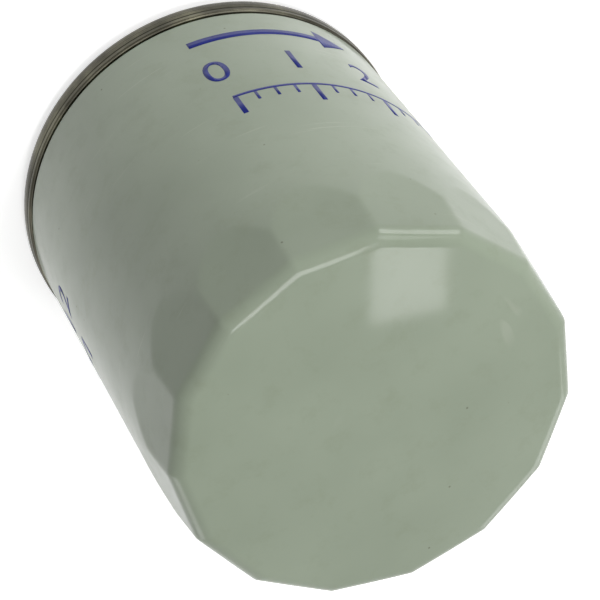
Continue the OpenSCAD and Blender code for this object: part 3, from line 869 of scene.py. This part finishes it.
class OILFILTER_OT_paper(bpy.types.Operator):
    """Folds the filter paper in rounded pleats"""

    bl_idname = "oilfilter.paper"
    bl_label = "Pleated paper"

    def execute(self, context):
        low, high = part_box("filter_media")
        sheet, pleats = 0.6 * MM, 48
        outer = outer_radius("filter_media") - sheet / 2
        inner = outer_radius("centre_tube") + 1.3 * MM + sheet / 2
        bm = bmesh.new()
        # Four corners a pleat: two at its outer fold and two at its inner one
        folds = bmesh.ops.create_circle(bm, cap_ends=False, segments=4 * pleats, radius=outer)["verts"]
        bmesh.ops.rotate(bm, verts=folds, cent=(0, 0, 0), matrix=Matrix.Rotation(math.pi / (4 * pleats), 3, "Z"))
        width, rounding = 0.9 * MM, 0.4 * MM
        half_pitch = math.pi / pleats
        for vert in folds:
            angle = math.atan2(vert.co.y, vert.co.x) / half_pitch
            place = math.floor(angle)
            side = -1 if angle - place < 0.5 else 1
            radius = inner if place % 2 else outer
            turned = (place + 0.5) * half_pitch + side * width / 2 / radius
            vert.co = (radius * math.cos(turned), radius * math.sin(turned), 0)
        for vert in folds:
            a, b = [edge.other_vert(vert).co - vert.co for edge in vert.link_edges]
            bmesh.ops.bevel(
                bm, geom=[vert], offset=rounding / math.tan(a.angle(b) / 2), offset_type="OFFSET", segments=3,
                profile=0.5, affect="VERTICES", material=-1,
            )
        bmesh.ops.translate(bm, vec=(0, 0, low.z), verts=bm.verts)
        grown = bmesh.ops.extrude_edge_only(bm, edges=bm.edges[:])["geom"]
        far_side = [g for g in grown if isinstance(g, bmesh.types.BMVert)]
        bmesh.ops.translate(bm, vec=(0, 0, high.z - low.z), verts=far_side)
        bmesh.ops.recalc_face_normals(bm, faces=bm.faces)
        piece = thicken(finished("pleated_paper", bm, finish("paper"), sharp=60), sheet)
        settle(piece, "element", "filter_media")
        return {"FINISHED"}


class OILFILTER_OT_springs(bpy.types.Operator):
    """Winds the element spring and the bypass spring from round wire"""

    bl_idname = "oilfilter.springs"
    bl_label = "Springs"

    def execute(self, context):
        low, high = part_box("element_spring")
        piece = wire_coil("round_wire_element_spring", 18 * MM, 2.2 * MM, 3.5, low.z, high.z)
        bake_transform(piece)
        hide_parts("element_spring")
        low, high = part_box("bypass_spring")
        piece = wire_coil("round_wire_bypass_spring", 7 * MM, 1.2 * MM, 5, low.z, high.z)
        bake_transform(piece)
        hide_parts("bypass_spring")
        return {"FINISHED"}


CARRIED_OVER = {
    "seam_sealant": "sealant",
    "outlet_end_cap": "cap_steel",
    "outlet_bond": "bond",
    "media_clip": "cap_steel",
    "centre_tube": "tube_steel",
    "closed_bond": "bond",
    "closed_end_cap": "cap_steel",
    "bypass_seat": "valve_steel",
    "bypass_washer": "washer_rubber",
    "bypass_disc": "valve_steel",
    "bypass_cage": "valve_steel",
    "spring_seat": "cap_steel",
}


class OILFILTER_OT_inner_finishes(bpy.types.Operator):
    """Gives the pieces that keep their CAD shape their finishes"""

    bl_idname = "oilfilter.inner_finishes"
    bl_label = "Inner pieces' finishes"

    def execute(self, context):
        for name, coat in CARRIED_OVER.items():
            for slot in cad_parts[name].material_slots:
                slot.material = finish(coat)
        return {"FINISHED"}


# ---------------------------------------------------------------- stage

# Name, place, aim, size, power in watts and roll in degrees
MIDDLE = (0, 0, 0.06)
LAMPS = (
    ("key_softbox", (-0.862, -0.723, 0.289), MIDDLE, (0.45, 0.45), 3.8, 0),
    ("left_softbox", (-0.623, -0.523, 0.863), MIDDLE, (0.45, 0.45), 1.9, 0),
    ("back_softbox", (-0.474, 0.971, 0.443), MIDDLE, (0.5, 0.5), 2.0, 0),
    ("top_softbox", (-0.017, -0.099, 1.196), MIDDLE, (0.5, 0.5), 5.9, 0),
    ("low_softbox", (0.933, 0.653, 0.21), MIDDLE, (0.5, 0.5), 1.7, 0),
    # A small window whose mirror image lies on the domed end
    ("window", (-0.275, 0.495, 1.09), (-0.016, -0.035, 0.111), (0.19, 0.13), 0.62, 45),
)


def softbox(name, place, aim, size, power, roll):
    """A rectangular lamp that faces its aim, turned about its own axis by the roll."""
    lamp = bpy.data.lights.new(name, "AREA")
    lamp.shape = "RECTANGLE"
    lamp.size, lamp.size_y = size
    lamp.energy = power
    made = bpy.data.objects.new(name, lamp)
    made.location = place
    facing = (Vector(aim) - Vector(place)).to_track_quat("-Z", "Y")
    made.rotation_euler = (facing @ Quaternion((0, 0, 1), math.radians(roll))).to_euler()
    bpy.context.scene.collection.objects.link(made)


def seen_directly(tree):
    """1 for camera, mirror and glass rays, and 0 for the light that falls on things."""
    path = node(tree, "ShaderNodeLightPath").outputs
    both = node(tree, "ShaderNodeMath", {}, {0: path["Is Camera Ray"], 1: path["Is Glossy Ray"]}, operation="MAXIMUM")
    return node(
        tree, "ShaderNodeMath", {}, {0: both.outputs[0], 1: path["Is Transmission Ray"]}, operation="MAXIMUM"
    ).outputs[0]


def backdrop_paper():
    """White matt backdrop paper, its fibre clouds hardly visible, that looks lifted to white but lights nothing."""
    made = bpy.data.materials.new("white_backdrop_paper")
    made.use_nodes = True
    tree = made.node_tree
    tree.nodes.clear()
    place = node(tree, "ShaderNodeTexCoord").outputs["Object"]
    fibre = node(tree, "ShaderNodeTexNoise", {"Scale": per(30), "Detail": 3.0}, {"Vector": place})
    tone = node(
        tree, "ShaderNodeValToRGB", {}, {"Fac": fibre.outputs["Fac"]}, [(0.3, grey(0.84)), (0.7, grey(0.86))]
    ).outputs["Color"]
    matt = node(tree, "ShaderNodeBsdfDiffuse", {}, {"Color": tone})
    lift = node(tree, "ShaderNodeMath", {1: 0.68}, {0: seen_directly(tree)}, operation="MULTIPLY").outputs[0]
    white = node(tree, "ShaderNodeEmission", {"Color": grey(1.0)}, {"Strength": lift})
    both = node(tree, "ShaderNodeAddShader", {}, {0: matt.outputs[0], 1: white.outputs[0]})
    node(tree, "ShaderNodeOutputMaterial", {}, {"Surface": both.outputs[0]})
    return made


def soft_room():
    """A room that is white to look at and adds a little even light."""
    made = bpy.data.worlds.new("soft_room")
    made.use_nodes = True
    tree = made.node_tree
    tree.nodes.clear()
    level = node(
        tree, "ShaderNodeMapRange", {"To Min": 0.045, "To Max": 1.0}, {"Value": seen_directly(tree)}
    ).outputs[0]
    room = node(tree, "ShaderNodeBackground", {"Color": grey(1.0)}, {"Strength": level})
    node(tree, "ShaderNodeOutputWorld", {}, {"Surface": room.outputs[0]})
    return made


def placed_camera():
    """The camera, turned so that the filter lies tipped over, its closed end down and to the right."""
    camera = bpy.data.cameras.new("camera")
    camera.lens = 158.42
    camera.sensor_width = 36
    camera.clip_start, camera.clip_end = 0.01, 20
    eye = Vector((0.065985, -0.350849, 0.528620))
    aim = Vector((-0.000799, -0.000152, 0.061282))
    roll = math.radians(145.449)
    back = (eye - aim).normalized()
    side = Vector((0, 0, 1)).cross(back).normalized()
    rise = back.cross(side)
    up = rise * math.cos(roll) - side * math.sin(roll)
    right = rise * math.sin(roll) + side * math.cos(roll)
    made = bpy.data.objects.new("camera", camera)
    made.matrix_world = Matrix.Translation(eye) @ Matrix((right, up, back)).transposed().to_4x4()
    bpy.context.scene.collection.objects.link(made)
    return made


class OILFILTER_OT_stage(bpy.types.Operator):
    """Sets the pale floor, the soft lamps and the camera"""

    bl_idname = "oilfilter.stage"
    bl_label = "Stage"

    def execute(self, context):
        scene = context.scene
        scene.view_settings.view_transform = "Standard"
        bm = bmesh.new()
        bmesh.ops.create_circle(bm, cap_ends=True, segments=96, radius=4.0)
        # Just below the gasket's face, so that the two never share a plane
        bmesh.ops.translate(bm, vec=(0, 0, -0.01 * MM), verts=bm.verts)
        floor = finished("floor", bm, backdrop_paper())
        scene.world = soft_room()
        for lamp in LAMPS:
            softbox(*lamp)
        scene.camera = placed_camera()
        return {"FINISHED"}


# ---------------------------------------------------------------- panel and registration

OPERATORS = (
    OILFILTER_OT_stage,
    OILFILTER_OT_can,
    OILFILTER_OT_scale,
    OILFILTER_OT_lid,
    OILFILTER_OT_gasket,
    OILFILTER_OT_base_plate,
    OILFILTER_OT_drain_valve,
    OILFILTER_OT_paper,
    OILFILTER_OT_springs,
    OILFILTER_OT_inner_finishes,
)


class OILFILTER_PT_panel(bpy.types.Panel):
    """Lists the filter's sizes, colours and pieces"""

    bl_idname = "OILFILTER_PT_panel"
    bl_label = "Oil filter"
    bl_space_type = "VIEW_3D"
    bl_region_type = "UI"
    bl_category = "Oil filter"

    def draw(self, context):
        for group in (context.scene.filter_can, context.scene.filter_seam, context.scene.filter_colours):
            box = self.layout.box()
            for name in group.__annotations__:
                box.prop(group, name)
        for operator in OPERATORS:
            self.layout.operator(operator.bl_idname)


GROUPS = {"filter_can": CanSizes, "filter_seam": SeamSizes, "filter_colours": FinishColours}


def register():
    for made in (*GROUPS.values(), *OPERATORS, OILFILTER_PT_panel):
        bpy.utils.register_class(made)
    for name, group in GROUPS.items():
        setattr(bpy.types.Scene, name, bpy.props.PointerProperty(type=group))


def unregister():
    for name in GROUPS:
        delattr(bpy.types.Scene, name)
    for made in (OILFILTER_PT_panel, *reversed(OPERATORS), *reversed(GROUPS.values())):
        bpy.utils.unregister_class(made)


def main():
    register()
    for operator in OPERATORS:
        space, call = operator.bl_idname.split(".")
        getattr(getattr(bpy.ops, space), call)()


if __name__ == "__main__":
    main()
